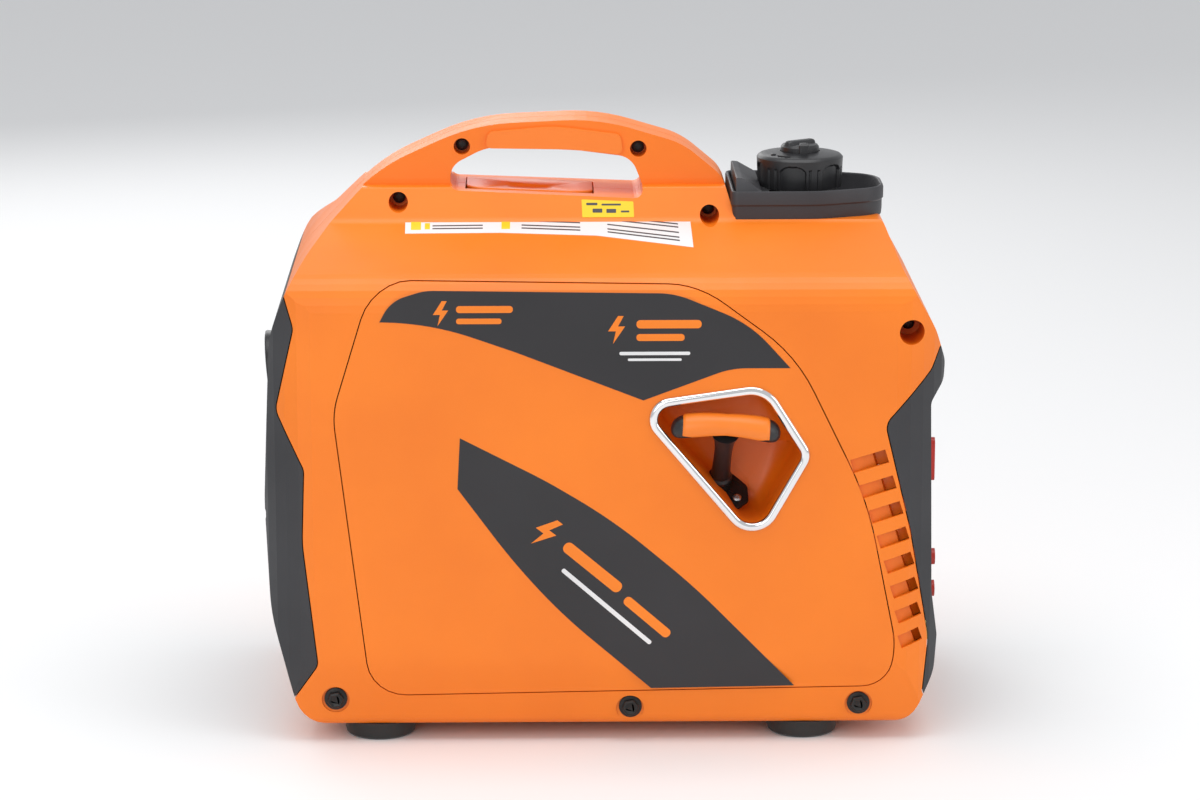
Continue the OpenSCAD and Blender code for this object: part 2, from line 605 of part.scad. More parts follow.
module base_bolt(s) {
    translate([s[0], -half_w + 8, s[1]]) rotate([90, 0, 0]) {
        cylinder(r = 8, h = 1.5);
        cylinder(r = 5.8, h = 6, $fn = 6);
    }
    rod_y(s[0], s[1], -half_w + 8, -half_w + 20, 3);
}
module base_bolts() color("black") for (side = [0, 1]) mirror([0, side, 0]) for (s = base_bolts_at) base_bolt(s);
module base_tray() color("dimgray") difference() {
    union() {
        intersection() {
            case_solid(wall + 0.4);
            difference() {
                tray_block(12, ground_gap, 46);
                tray_block(14.5, ground_gap + 7, 60);
            }
        }
        for (side = [-1, 1], s = base_bolts_at) rod_y(s[0], s[1], side > 0 ? half_w - 23 : -half_w + 12.2,
            side > 0 ? half_w - 12.2 : -half_w + 23, 7);
        for (x = feet_x, y = [-1, 1]) rod_z(x, y * foot_span_y / 2, ground_gap + wall + 0.4, ground_gap + 16, 8);
    }
    for (side = [0, 1]) mirror([0, side, 0]) for (s = base_bolts_at) rod_y(s[0], s[1], -half_w, -half_w + 21, 3.1);
    for (x = feet_x, y = [-1, 1]) rod_z(x, y * foot_span_y / 2, 0, ground_gap + 12.5, 3.1);
}
module tray_block(g, z0, z1) translate([0, 0, z0]) linear_extrude(z1 - z0)
    polygon(rounded(box_corners(-243 + g, -half_w + g, 248 - g, half_w - g, 30)));
module rubber_feet() color("black") for (x = feet_x, y = [-1, 1]) translate([x, y * foot_span_y / 2, 0]) difference() {
    rotate_extrude() polygon([[0, 0], [foot_d / 2 - 5, 0], [foot_d / 2 - 1, 4], [foot_d / 2, ground_gap], [3, ground_gap],
        [3, ground_gap + 12], [0, ground_gap + 12]]);
    translate([0, 0, -1]) cylinder(r = 8, h = 4);
}
module engine_mounts() color("black") for (x = [-1, 1], y = [-1, 1])
    rod_z(crank[0] + x * 36, y * 36, ground_gap + 7, 46, 14);
module inverter() color("silver") union() {
    slab([100, 188], [-96, 96], [40, 92]);
    for (i = [0 : 15]) slab([100, 188], [-94 + 12 * i, -91 + 12 * i], [92, 116]);
    for (y = [-1, 1]) slab([120, 170], [y * 80 - 8, y * 80 + 8], [ground_gap + 7, 40]);
}
module fuel_tank() color("dimgray") difference() {
    tank_shape(0);
    tank_shape(3);
    rod_z(filler_x, 0, 330, 370, neck_d / 2 - neck_wall);
}
module tank_shape(g) translate([0, 0, tank_z + g]) linear_extrude(tank_top - tank_z - 2 * g)
    polygon(rounded(box_corners(50 + g, -76 + g, 204 - g, 76 - g, 20)));
module filler_neck() color("silver") difference() {
    union() {
        rod_z(filler_x, 0, tank_top, neck_z, neck_d / 2);
        rod_z(filler_x, 0, tank_top, tank_top + 3, neck_d / 2 + 6);
    }
    rod_z(filler_x, 0, 330, neck_z + 1, neck_d / 2 - neck_wall);
}
function tray_plan(g) = both_ends([[97 + g, 48 - g, 4], [160, 47 - g, 60], [207 - g, 28 - g, 26 - g]]);
// The same outline on both sides of the X axis.
function both_ends(v) = concat([for (c = v) [c[0], -c[1], c[2]]], [for (i = [len(v) - 1 : -1 : 0]) v[i]]);
module tank_tray() color("dimgray") difference() {
    union() {
        difference() {
            translate([0, 0, deck_z + 0.4]) linear_extrude(20) polygon(rounded(tray_plan(0)));
            translate([0, 0, deck_z + 4]) linear_extrude(30) polygon(rounded(tray_plan(3)));
        }
        intersection() {
            along_y(-48, 48) polygon([[86, deck_z + 29], [103, deck_z + 29], [116, deck_z + 19], [116, deck_z], [98, deck_z + 1]]);
            along_x(80, 116) polygon([[-48, deck_z + 0.4], [-48, deck_z + 19], [-38, deck_z + 29], [38, deck_z + 29],
                [48, deck_z + 19], [48, deck_z + 0.4]]);
        }
    }
    case_solid(-0.4);
    rod_z(filler_x, 0, 340, 400, neck_d / 2 + 1);
}
module fuel_cap() color("dimgray") difference() {
    union() {
        rod_z(filler_x, 0, cap_z, cap_z + cap_h - 2, cap_d / 2 - 1.5);
        for (a = [0 : 30 : 330]) rotate_about(a) slab([cap_d / 2 - 4, cap_d / 2], [-4.2, 4.2], [cap_z + 1, cap_z + cap_h - 3]);
        translate([filler_x, 0, cap_z + cap_h - 2]) cylinder(r1 = cap_d / 2 - 1.5, r2 = cap_d / 2 - 5, h = 2);
    }
    rod_z(filler_x, 0, cap_z - 1, neck_z + 3.2, neck_d / 2 + 1);
    rod_z(filler_x, 0, cap_z + cap_h - 6, cap_z + cap_h + 1, 4 + running);
}
module rotate_about(a) translate([filler_x, 0, 0]) rotate([0, 0, a]) children();
module cap_gasket() color("black") difference() {
    rod_z(filler_x, 0, neck_z + 0.2, neck_z + 3, neck_d / 2);
    rod_z(filler_x, 0, neck_z, neck_z + 4, neck_d / 2 - 6);
}
module vent_knob() color("dimgray") union() {
    rod_z(filler_x, 0, cap_z + cap_h + 0.2, cap_z + cap_h + 9, vent_d / 2);
    rod_z(filler_x, 0, cap_z + cap_h - 5.5, cap_z + cap_h + 0.2, 4);
    rotate_about(-60) slab([0, vent_d / 2 + 3], [-3.5, 3.5], [cap_z + cap_h + 2, cap_z + cap_h + 11]);
}
module lid_place() translate([lid_x, 0, shelf_at(lid_x)]) rotate([0, shelf_slope, 0]) children();
module plug_lid() color("darkorange") lid_place() difference() {
    translate([0, 0, -lid_t]) linear_extrude(lid_t) polygon(rounded([[-lid_len / 2, -lid_w / 2, 16],
        [lid_len / 2, -lid_w / 2, 16], [lid_len / 2, lid_w / 2, 3], [-lid_len / 2, lid_w / 2, 3]]));
    translate([0, -lid_w / 2 + 14, 10.5]) rotate([0, 90, 0]) cylinder(r = 12, h = 24, center = true);
}
module handle_grips() color("orange") for (side = [0, 1]) mirror([0, side, 0])
    along_y(-handle_w / 2 - 3, -handle_w / 2 - 0.1) polygon(rounded([[-82, 417, 4], [-80, 429, 5], [-33, 433, 100],
        [16, 427, 5], [18, 412, 4], [-20, 416, 100]]));

case_recoil_side();
case_service_side();
recoil_panel();
recoil_pocket();
recoil_trim();
rope_guide();
rope_guide_screws();
handle_grips();
rear_cover();
front_cover();
control_panel();
base_tray();
rubber_feet();
case_screws();
base_bolts();
tank_tray();
fuel_tank();
filler_neck();
muffler();
exhaust_outlet();
crankcase();
cylinder_node();  // cylinder
cylinder_head();
spark_plug();
plug_boot();
carburettor();
air_box();
recoil_housing();
stator();
inverter();
engine_mounts();
fuel_hose();
ac_outlets();
dc_outlet();
usb_outlet();
indicator_lights();
parallel_jacks();
ground_stud();
rope_run();
crankshaft();
flywheel();
starter_pulley();
rope_wrap();
pull_handle();
pull_handle_pad();
rope_tail();
fuel_cap();
cap_gasket();
vent_knob();
plug_lid();
service_panel();
service_knob();
engine_switch();
eco_switch();
breaker(breaker_at[0]);  // ac_breaker
breaker(breaker_at[1]);  // dc_breaker
outlet_lid(ac_at[0]);  // outlet_lid_left
outlet_lid(ac_at[1]);  // outlet_lid_right
ground_nut();
piston();
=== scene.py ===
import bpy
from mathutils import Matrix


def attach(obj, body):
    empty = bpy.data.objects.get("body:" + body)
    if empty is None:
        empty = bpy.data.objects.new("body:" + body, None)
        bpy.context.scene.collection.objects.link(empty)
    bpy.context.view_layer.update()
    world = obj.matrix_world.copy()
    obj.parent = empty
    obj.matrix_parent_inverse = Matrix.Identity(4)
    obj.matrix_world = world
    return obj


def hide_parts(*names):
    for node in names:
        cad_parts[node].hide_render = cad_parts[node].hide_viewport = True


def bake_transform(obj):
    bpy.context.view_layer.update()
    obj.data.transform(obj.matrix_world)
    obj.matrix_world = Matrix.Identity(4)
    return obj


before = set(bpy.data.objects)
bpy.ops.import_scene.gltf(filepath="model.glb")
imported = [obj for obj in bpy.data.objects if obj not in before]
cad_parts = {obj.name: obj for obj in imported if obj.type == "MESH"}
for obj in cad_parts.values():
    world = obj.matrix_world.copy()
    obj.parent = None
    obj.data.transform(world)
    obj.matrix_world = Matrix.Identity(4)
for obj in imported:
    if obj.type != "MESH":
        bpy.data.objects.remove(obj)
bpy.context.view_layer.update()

import math

import bpy
import numpy as np
from mathutils import Vector

mm = 0.001
print("frame loaded:", len(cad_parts), "nodes")

# ---------- camera, floor and lights ----------

view = {"turn": -1.0, "rise": 13.0, "away": 3.0, "aim": (0.0045, 0.0, 0.201), "focal": 121.05,
        "sensor": 36, "shiftX": -0.0033, "shiftY": 0.025}


def addCamera(v):
    turn, rise = math.radians(v["turn"]), math.radians(v["rise"])
    back = np.array([math.sin(turn) * math.cos(rise), -math.cos(turn) * math.cos(rise), math.sin(rise)])
    data = bpy.data.cameras.new("camera")
    data.lens, data.sensor_width = v["focal"], v["sensor"]
    data.shift_x, data.shift_y = v["shiftX"], v["shiftY"]
    cam = bpy.data.objects.new("camera", data)
    cam.location = np.array(v["aim"]) + v["away"] * back
    cam.rotation_euler = (math.pi / 2 - rise, 0, turn)
    bpy.context.collection.objects.link(cam)
    bpy.context.scene.camera = cam


def addLight(name, place, aim, size, power):
    data = bpy.data.lights.new(name, "AREA")
    data.shape, data.size, data.size_y = "RECTANGLE", size[0], size[1]
    data.energy = power
    lamp = bpy.data.objects.new(name, data)
    lamp.location = place
    way = Vector(aim) - Vector(place)
    lamp.rotation_euler = way.to_track_quat("-Z", "Y").to_euler()
    bpy.context.collection.objects.link(lamp)


lights = {"overhead": ((0, -0.3, 2.2), (0, 0, 0.2), (2.2, 1.6), 26),
          "fill": ((-0.9, -2.4, 1.1), (0, 0, 0.2), (1.6, 1.4), 13),
          "side": ((2.2, -1.2, 1.0), (0, 0, 0.2), (1.2, 1.4), 9),
          "back": ((-0.8, 2.2, 1.3), (0, 0, 0.2), (1.8, 1.2), 13)}
sky = {"colour": (0.96, 0.975, 1.0), "strength": 0.62}
floorLook = {"half": 9, "grey": 0.9, "roughness": 0.75}


def addStage():
    mesh = bpy.data.meshes.new("floor")
    half, grey = floorLook["half"], floorLook["grey"]
    corners = [(-half, -half, 0), (half, -half, 0), (half, half, 0), (-half, half, 0)]
    mesh.from_pydata(corners, [], [(0, 1, 2, 3)])
    floor = bpy.data.objects.new("floor", mesh)
    bpy.context.collection.objects.link(floor)
    m = bpy.data.materials.new("pale_floor")
    m.use_nodes = True
    shader = m.node_tree.nodes["Principled BSDF"]
    shader.inputs["Base Color"].default_value = (grey, grey, grey, 1)
    shader.inputs["Roughness"].default_value = floorLook["roughness"]
    mesh.materials.append(m)
    for name, (place, aim, size, power) in lights.items():
        addLight(name, place, aim, size, power)
    world = bpy.data.worlds.new("studio")
    world.use_nodes = True
    world.node_tree.nodes["Background"].inputs[0].default_value = (*sky["colour"], 1)
    world.node_tree.nodes["Background"].inputs[1].default_value = sky["strength"]
    bpy.context.scene.world = world


bpy.context.scene.view_settings.view_transform = "Standard"
addCamera(view)
addStage()

# ---------- materials ----------


def newMaterial(name):
    m = bpy.data.materials.new(name)
    m.use_nodes = True
    return m, m.node_tree, m.node_tree.nodes["Principled BSDF"]


def node(tree, kind):
    return tree.nodes.new(kind)


def noise(tree, place, scale, detail, stretch=(1, 1, 1)):
    mapping = node(tree, "ShaderNodeMapping")
    mapping.inputs["Scale"].default_value = stretch
    tree.links.new(place, mapping.inputs["Vector"])
    n = node(tree, "ShaderNodeTexNoise")
    n.inputs["Scale"].default_value = scale
    n.inputs["Detail"].default_value = detail
    tree.links.new(mapping.outputs[0], n.inputs["Vector"])
    return n.outputs["Fac"]


def spread(tree, value, low, high, fromLow=0.3, fromHigh=0.7):
    n = node(tree, "ShaderNodeMapRange")
    for slot, number in zip(("From Min", "From Max", "To Min", "To Max"), (fromLow, fromHigh, low, high)):
        n.inputs[slot].default_value = number
    tree.links.new(value, n.inputs["Value"])
    return n.outputs["Result"]


def tint(tree, value, dark, light):
    n = node(tree, "ShaderNodeMix")
    n.data_type = "RGBA"
    n.inputs[6].default_value = (*dark, 1)
    n.inputs[7].default_value = (*light, 1)
    tree.links.new(value, n.inputs[0])
    return n.outputs[2]


pattern = {"blotch": 9, "smudge": 22, "bump": 0.0002, "lines": 160,
           "linePull": (1, 1, 14), "lineFrom": 0.62, "lineTo": 0.7}


def finish(name, dark, light, rough, grain, metal=0.0, stretch=(1, 1, 1), scratch=0.0, sheen=0.0):
    # Colour drifts slowly, roughness drifts at smudge scale, and a fine moulded grain gives the bump
    m, tree, shader = newMaterial(name)
    place = node(tree, "ShaderNodeTexCoord").outputs["Object"]
    drift = spread(tree, noise(tree, place, pattern["blotch"], 4), 0, 1)
    tree.links.new(tint(tree, drift, dark, light), shader.inputs["Base Color"])
    smudges = spread(tree, noise(tree, place, pattern["smudge"], 5), rough[0], rough[1])
    tree.links.new(smudges, shader.inputs["Roughness"])
    bump = node(tree, "ShaderNodeBump")
    bump.inputs["Strength"].default_value = grain[1]
    bump.inputs["Distance"].default_value = pattern["bump"]
    height = noise(tree, place, grain[0], 2, stretch)
    if scratch:
        lines = noise(tree, place, pattern["lines"], 6, pattern["linePull"])
        add = node(tree, "ShaderNodeMath")
        add.operation = "MULTIPLY_ADD"
        tree.links.new(spread(tree, lines, 0, 1, pattern["lineFrom"], pattern["lineTo"]), add.inputs[0])
        add.inputs[1].default_value = scratch
        tree.links.new(height, add.inputs[2])
        height = add.outputs[0]
    tree.links.new(height, bump.inputs["Height"])
    tree.links.new(bump.outputs[0], shader.inputs["Normal"])
    shader.inputs["Metallic"].default_value = metal
    shader.inputs["Sheen Weight"].default_value = sheen
    return m


paints = {
    "orange_plastic": finish("orange_plastic", (0.86, 0.185, 0.003), (0.93, 0.215, 0.005),
        (0.36, 0.47), (2300, 0.22), scratch=0.3),
    "orange_lid": finish("orange_lid", (0.87, 0.2, 0.012), (0.93, 0.235, 0.02),
        (0.34, 0.44), (2300, 0.2)),
    "dark_plastic": finish("dark_plastic", (0.026, 0.026, 0.029), (0.036, 0.036, 0.04),
        (0.45, 0.6), (1800, 0.3), scratch=0.3),
    "black_plastic": finish("black_plastic", (0.012, 0.012, 0.013), (0.02, 0.02, 0.022),
        (0.26, 0.4), (1500, 0.12)),
    "rubber": finish("rubber", (0.012, 0.012, 0.012), (0.021, 0.02, 0.019),
        (0.6, 0.8), (1400, 0.4), sheen=0.2),
    "chrome": finish("chrome", (0.8, 0.8, 0.81), (0.88, 0.88, 0.88),
        (0.04, 0.1), (700, 0.03), metal=1),
    "steel": finish("steel", (0.5, 0.5, 0.5), (0.62, 0.62, 0.62),
        (0.22, 0.4), (900, 0.12), metal=1, stretch=(1, 1, 20)),
    "aluminium": finish("aluminium", (0.55, 0.56, 0.57), (0.7, 0.7, 0.71),
        (0.38, 0.6), (1100, 0.5), metal=1),
    "iron": finish("iron", (0.2, 0.19, 0.18), (0.3, 0.29, 0.28),
        (0.45, 0.7), (900, 0.6), metal=1),
    "black_steel": finish("black_steel", (0.02, 0.02, 0.021), (0.034, 0.032, 0.03),
        (0.3, 0.5), (1200, 0.25), metal=0.6),
    "copper": finish("copper", (0.62, 0.25, 0.1), (0.75, 0.34, 0.16),
        (0.25, 0.42), (2600, 0.5), metal=1, stretch=(1, 12, 1)),
    "brass": finish("brass", (0.62, 0.42, 0.14), (0.74, 0.53, 0.2),
        (0.22, 0.4), (900, 0.15), metal=1),
    "rope": finish("rope", (0.62, 0.6, 0.55), (0.8, 0.78, 0.72),
        (0.75, 0.9), (1500, 0.9), stretch=(1, 1, 0.4)),
    "red_plastic": finish("red_plastic", (0.5, 0.02, 0.012), (0.62, 0.035, 0.02),
        (0.25, 0.36), (1800, 0.12)),
    "ceramic": finish("ceramic", (0.82, 0.81, 0.78), (0.9, 0.89, 0.87),
        (0.12, 0.2), (900, 0.06)),
}
looks = {
    "cover_black": finish("cover_black", (0.027, 0.0265, 0.030), (0.038, 0.037, 0.042),
        (0.42, 0.56), (1500, 0.35), scratch=0.4),
    "decal_black": finish("decal_black", (0.0145, 0.0135, 0.0155), (0.021, 0.0195, 0.022),
        (0.3, 0.42), (500, 0.05), scratch=0.25),
    "decal_orange": finish("decal_orange", (0.86, 0.2, 0.004), (0.93, 0.23, 0.006),
        (0.34, 0.44), (500, 0.04)),
    "label_white": finish("label_white", (0.72, 0.72, 0.73), (0.82, 0.82, 0.82),
        (0.28, 0.4), (400, 0.04)),
    "label_ink": finish("label_ink", (0.03, 0.03, 0.035), (0.07, 0.07, 0.08),
        (0.35, 0.45), (400, 0.04)),
    "label_yellow": finish("label_yellow", (0.82, 0.55, 0.01), (0.9, 0.63, 0.02),
        (0.3, 0.4), (400, 0.04)),
    # a darker copy of the orange plastic: painted shade for the recessed recoil pocket and the intake slot
    # wells
    "orange_painted_shade": finish("orange_painted_shade", (0.8, 0.16, 0.003), (0.88, 0.19, 0.005),
        (0.36, 0.48), (2000, 0.25)),
}
print("materials made:", len(paints) + len(looks))

# ---------- outlines and surfaces ----------


def rounded(corners, steps=8):
    # Each corner with a radius becomes an arc that touches both of its sides
    points = []
    count = len(corners)
    for i, (x, z, r) in enumerate(corners):
        p, q, s = (np.array(corners[k % count][:2], float) for k in (i - 1, i, i + 1))
        if not r:
            points.append(q)
            continue
        a, b = (p - q) / np.linalg.norm(p - q), (s - q) / np.linalg.norm(s - q)
        half = math.acos(np.clip(a @ b, -1, 1)) / 2
        centre = q + (a + b) / np.linalg.norm(a + b) * r / math.sin(half)
        start, end = q + a * r / math.tan(half) - centre, q + b * r / math.tan(half) - centre
        first = math.atan2(start[1], start[0])
        turn = (math.atan2(end[1], end[0]) - first + 3 * math.pi) % (2 * math.pi) - math.pi
        for t in np.linspace(0, 1, steps + 1):
            points.append(centre + r * np.array([math.cos(first + turn * t), math.sin(first + turn * t)]))
    return np.array(points)


def boxCorners(x0, z0, x1, z1, r):
    return [(x0, z0, r), (x1, z0, r), (x1, z1, r), (x0, z1, r)]


def signedArea(outline):
    x, z = outline.T
    return 0.5 * np.sum(x * np.roll(z, -1) - np.roll(x, -1) * z)


def grow(outline, by):
    # Moves each point along the mean of its two sides' normals, lengthened at corners
    ahead = np.roll(outline, -1, 0) - outline
    ahead /= np.linalg.norm(ahead, axis=1)[:, None] + 1e-12
    normal = np.stack([ahead[:, 1], -ahead[:, 0]], 1) * (1 if signedArea(outline) > 0 else -1)
    mean = normal + np.roll(normal, 1, 0)
    mean /= np.maximum((mean * mean).sum(1), 0.4)[:, None] / 2
    return outline + by * mean


def ease(t):
    t = np.clip(t, 0, 1)
    return t * t * (3 - 2 * t)


def addMesh(name, points, faces, smooth=35):
    mesh = bpy.data.meshes.new(name)
    mesh.from_pydata((np.asarray(points, float) * mm).tolist(), [], [list(map(int, f)) for f in faces])
    mesh.validate()
    mesh.shade_smooth()
    if smooth < 180:
        mesh.set_sharp_from_angle(angle=math.radians(smooth))
    obj = bpy.data.objects.new(name, mesh)
    bpy.context.collection.objects.link(obj)
    return obj


def gridFaces(rows, columns, closed=True, wrap=False):
    # Quads of a grid of rows rings, each of columns points; closed joins a ring's ends,
    # and wrap joins the first and last ring
    i = np.arange(rows if wrap else rows - 1)[:, None]
    j = np.arange(columns if closed else columns - 1)[None, :]
    k, n = (i + 1) % rows, (j + 1) % columns
    corners = (i * columns + j, i * columns + n, k * columns + n, k * columns + j)
    return np.stack([a.ravel() for a in corners], 1)


def turnedOut(points, faces):
    # Reverses the faces if the closed surface they make has a negative volume
    fans = np.array([(f[0], f[k], f[k + 1]) for f in faces for k in range(1, len(f) - 1)])
    a, b, c = (points[fans[:, k]] for k in range(3))
    return faces if (a * np.cross(b, c)).sum() > 0 else [list(f)[::-1] for f in faces]


def carried(name, outline, profile, place=None, capStart=True, ring=False, smooth=35):
    # The outline is carried through the profile's steps, which grow it and lift it; the ends are closed.
    # The faces are turned out before the placing, so a placing that mirrors leaves them facing inwards
    rings = [np.column_stack([grow(outline, g), np.full(len(outline), h)]) for g, h in profile]
    points = np.concatenate(rings)
    faces = [list(f) for f in gridFaces(len(profile), len(outline), True, ring)]
    n = len(outline)
    if not ring:
        if capStart:
            faces.append(list(range(n))[::-1])
        faces.append(list(range(len(points) - n, len(points))))
    faces = turnedOut(points, faces)
    if place is not None:
        points = place(points)
    return addMesh(name, points, faces, smooth)


def circle(r, steps=64, x=0.0, z=0.0):
    a = np.linspace(0, 2 * math.pi, steps, endpoint=False)
    return np.column_stack([x + r * np.cos(a), z + r * np.sin(a)])


def turned(shape, angle):
    # Turns an outline against the clock by an angle in radians
    c, s = math.cos(angle), math.sin(angle)
    return shape @ np.array([[c, s], [-s, c]])


def toSide(side=-1):
    # Outline across and up, height outwards from the middle plane
    def place(p):
        return np.column_stack([p[:, 0], side * p[:, 2], p[:, 1]])
    return place


def upright(x, y):
    def place(p):
        return np.column_stack([p[:, 0] + x, p[:, 1] + y, p[:, 2]])
    return place


def alongX(p):
    # Outline in Y and Z, height along X
    return np.column_stack([p[:, 2], p[:, 0], p[:, 1]])


def join(name, objects):
    points, faces, start = [], [], 0
    for o in objects:
        co = np.empty(len(o.data.vertices) * 3)
        o.data.vertices.foreach_get("co", co)
        points.append(co.reshape(-1, 3) / mm)
        faces += [[v + start for v in p.vertices] for p in o.data.polygons]
        start += len(o.data.vertices)
        bpy.data.objects.remove(o)
    return addMesh(name, np.concatenate(points), faces)


def block(name, low, high):
    x0, y0, z0 = low
    x1, y1, z1 = high
    return carried(name, rounded(boxCorners(x0, y0, x1, y1, 0)), [(0, z0), (0, z1)], smooth=30)


def carve(target, tool):
    change = target.modifiers.new("carve", "BOOLEAN")
    change.operation, change.object, change.solver = "DIFFERENCE", tool, "MANIFOLD"
    bpy.context.view_layer.update()
    mesh = bpy.data.meshes.new_from_object(target.evaluated_get(bpy.context.evaluated_depsgraph_get()))
    target.modifiers.clear()
    old, target.data = target.data, mesh
    bpy.data.meshes.remove(old)
    bpy.data.objects.remove(tool)
    return target


def dress(obj, look, body, nodes=()):
    obj.data.materials.clear()
    obj.data.materials.append(look)
    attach(obj, body)
    if nodes:
        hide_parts(*nodes)
    return obj


# ---------- places on the case ----------

shelf = {"z": 385, "middle": -38, "slope": math.tan(math.radians(2.4))}


def shelfAt(x):
    return shelf["z"] - (x - shelf["middle"]) * shelf["slope"]


trimSide = rounded([(19, 252, 16), (118, 266, 24), (151, 214, 14), (111, 143, 20)], 14)


screws = {"handle": [(-99, 418), (29, 416)], "shoulder": [(-145, 380), (80, 371)], "corner": (220, 302),
          "base": [(-191, 33), (21.3, 26.2), (186, 28)]}


def rod(name, x, z, y0, y1, r, steps=48):
    return carried(name, circle(r, steps, x, z), [(0, y0), (0, y1)], toSide(1))


caseHalf = 137
outletAt, outletTilt = (-237.5, 0, 250), math.radians(5)


def outletPlace(p):
    # Height runs outwards along the tail pipe
    c, s = math.cos(outletTilt), math.sin(outletTilt)
    back = outletAt[0] - c * p[:, 2] - s * p[:, 0]
    return np.column_stack([back, p[:, 1], outletAt[2] + c * p[:, 0] + s * p[:, 2]])


# ---------- plug lid ----------


def onShelf(p):
    # Height above the sloping shelf
    return np.column_stack([p[:, 0], p[:, 1], p[:, 2] + shelfAt(p[:, 0])])


lid = {"x": -50, "long": 92, "wide": 50, "dishY": -11, "dishLong": 17, "dishWide": 9.5, "dishDeep": 2.9}
halfLong, halfWide = lid["long"] / 2, lid["wide"] / 2
lidPlan = rounded([(-halfLong, -halfWide, 16), (halfLong, -halfWide, 16), (halfLong, halfWide, 3),
                   (-halfLong, halfWide, 3)]) + (lid["x"], 0)
lidProfile = [(-0.6, -3), (0, -2.6), (0, 0.1), (-0.5, 0.55), (-1.4, 0.75)]
plugLid = carried("lid_spark_plug", lidPlan, lidProfile, onShelf)


def fingerDish(x, y, long, wide, deep):
    # The lower part of an egg shape, its two small ends closed flat
    rise = np.radians(np.linspace(-80, 80, 15))[:, None]
    around = np.linspace(0, 2 * math.pi, 48, endpoint=False)[None, :]
    points = np.stack([x + long * np.cos(rise) * np.cos(around), y + wide * np.cos(rise) * np.sin(around),
                       1.1 + deep * np.sin(rise) + 0 * around], -1).reshape(-1, 3)
    faces = [list(f) for f in gridFaces(15, 48)] + [list(range(48))[::-1], list(range(14 * 48, 15 * 48))]
    return addMesh("dish", onShelf(points), turnedOut(points, faces))


carve(plugLid, fingerDish(lid["x"], lid["dishY"], lid["dishLong"], lid["dishWide"], lid["dishDeep"]))
dress(plugLid, paints["orange_lid"], "plug_lid", ["plug_lid"])

# ---------- recoil pocket ----------

pull = {"tilt": math.radians(38), "turn": math.radians(-86), "guide": np.array([86, -98, 184.0]), "stem": 64,
        "gripW": 78, "gripR": 8.6, "gripFlat": 0.92, "gripLift": 2.2, "gripBow": 6.5,
        "gripTurn": math.radians(-5)}
ez = np.array([math.sin(pull["tilt"]) * math.cos(pull["turn"]),
               math.sin(pull["tilt"]) * math.sin(pull["turn"]), math.cos(pull["tilt"])])
ey = np.array([-math.sin(pull["turn"]), math.cos(pull["turn"]), 0])
ex = np.cross(ey, ez)


def atPull(p):
    # The third axis runs out along the starter rope
    return pull["guide"] + p[:, :1] * ex + p[:, 1:2] * ey + p[:, 2:3] * ez


trimProfile = [(-6.4, 136.2), (-6.6, 138.2), (-5.9, 139.4), (-4.6, 140.0), (-3.0, 140.1), (-1.4, 139.6),
               (-0.4, 138.6), (0, 137.2), (-0.2, 136.0), (-3, 135.6)]
trimRing = carried("trim_ring", trimSide, trimProfile, toSide(-1), ring=True, smooth=60)
dress(trimRing, paints["chrome"], "root", ["recoil_trim"])

pocketProfile = [(-1.3, 136.6), (-4.2, 136.6), (-4.6, 134), (-5.2, 118), (-6.5, 100), (-9.5, 93),
                 (-15, 89.6), (-24, 88)]
pocketWall = 2.2
pocketBowl = carried("pocket_bowl", trimSide, pocketProfile, toSide(-1), capStart=False, smooth=60)
solid = pocketBowl.modifiers.new("wall", "SOLIDIFY")
solid.thickness, solid.offset = pocketWall * mm, 0
# the pocket bowl takes the darker orange, which is painted shade in the recess
dress(pocketBowl, looks["orange_painted_shade"], "root", ["recoil_pocket"])

plate = rounded([(-25, -5, 4), (-15, -14, 6), (15, -14, 6), (25, -5, 4), (25, 5, 4), (15, 14, 6),
                 (-15, 14, 6), (-25, 5, 4)])
lean = math.radians(40)
plate = turned(plate, lean)
plateProfile = [(-0.6, -3), (0, -2.7), (0, -1.2), (-0.5, -0.6), (-4, -0.5), (-4.4, -0.9)]
bushProfile = [(0, -2), (5.6, -2), (5.6, 1.5), (4.8, 3.6), (2.2, 4.2), (0.4, 3.4), (0, 2)]
guidePlate = carried("guide_plate", plate, plateProfile, atPull, smooth=25)
guideBush = carried("guide_bush", circle(3.2), bushProfile, atPull, ring=True)
dress(join("rope_guide_plate", [guidePlate, guideBush]), paints["black_steel"], "root",
      ["rope_guide"])


def panHead(r, place):
    # A domed screw head with a cross recess
    profile = [(-0.2, -0.8), (0, -0.6), (0, 0.5), (-0.25 * r, 1.0), (-0.6 * r, 1.35), (-0.9 * r, 1.42)]
    head = carried("head", circle(r, 40), profile, None, smooth=40)
    for w, h in ((r * 1.1, r * 0.26), (r * 0.26, r * 1.1)):
        carve(head, block("slot", (-w / 2, -h / 2, 0.6), (w / 2, h / 2, 3)))
    co = np.empty(len(head.data.vertices) * 3)
    head.data.vertices.foreach_get("co", co)
    head.data.vertices.foreach_set("co", (place(co.reshape(-1, 3) / mm) * mm).ravel())
    head.data.update()
    return head


guideScrewR, guideScrewAt = 3.1, 18


def guideScrew(s):
    def place(p):
        return atPull(p + (s * guideScrewAt * math.cos(lean), s * guideScrewAt * math.sin(lean), 0))
    return place


guideHeads = [panHead(guideScrewR, guideScrew(s)) for s in (-1, 1)]
dress(join("guide_screws", guideHeads), paints["steel"], "root", ["rope_guide_screws"])


stemProfile = [(-8.4, 4.6), (-0.9, 4.6), (0, 5.6), (0, 8.6), (-0.8, 9.6), (-1.6, 10.4), (-1.8, 14),
               (-2.2, 26), (-2.2, 40), (-1.2, 50), (1.5, 58)]
stem = carried("stem", circle(8.6, 56), stemProfile, atPull, smooth=40)
coneTip = carried("tip", circle(6.4, 48), [(-2.0, -1.5), (-0.6, 0.5), (0, 4.8)], atPull)


